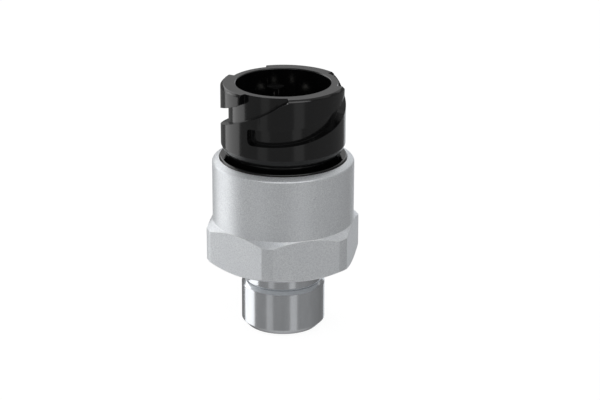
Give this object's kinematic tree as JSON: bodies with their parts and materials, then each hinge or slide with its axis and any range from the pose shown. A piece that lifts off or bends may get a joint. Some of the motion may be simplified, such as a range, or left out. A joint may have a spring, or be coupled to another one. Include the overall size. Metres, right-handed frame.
{
  "type": "pressure sensor",
  "caption": "Pressure transmitter with a hexagon body, a plain round pressure spigot and a round bayonet plug socket with contact pins.",
  "frame": {"origin": "centre of the pressure spigot's flat end face", "axes": "+Z along the sensor's axis, from the spigot to the plug socket; two hexagon corners lie on X and two flats face Y"},
  "size_m": [0.03, 0.027, 0.0483],
  "materials": {
    "housing_metal": "fine blasted, matte",
    "port_steel": "turned and polished",
    "connector_plastic": "moulded, half gloss",
    "contact_metal": "tin plated",
    "orifice_steel": "turned",
    "cell_steel": "ground",
    "bridge_film": "glossy",
    "seal_rubber": "matte",
    "bond_gold": "bright",
    "carrier_plastic": "moulded",
    "board_laminate": "solder mask",
    "chip_plastic": "moulded",
    "capacitor_ceramic": "satin",
    "potting_resin": "cast",
    "spring_metal": "gold plated"
  },
  "bodies": {
    "root": {"housing": "housing_metal", "pressure_port": "port_steel", "lock_ring": "orifice_steel", "damping_orifice": "orifice_steel", "sensor_cell": "cell_steel", "bridge_chip": "bridge_film", "flange_seal": "seal_rubber", "bond_wires": "bond_gold", "board_carrier": "carrier_plastic", "circuit_board": "board_laminate", "signal_chip": "chip_plastic", "board_capacitors": "capacitor_ceramic", "connector_shell": "connector_plastic", "pin_potting": "potting_resin", "ground_spring": "spring_metal", "contact_pin_1": "contact_metal", "contact_pin_2": "contact_metal", "contact_pin_3": "contact_metal", "contact_pin_4": "contact_metal", "contact_spring_1": "spring_metal", "contact_spring_2": "spring_metal", "contact_spring_3": "spring_metal", "contact_spring_4": "spring_metal"}
  },
  "joints": []
}
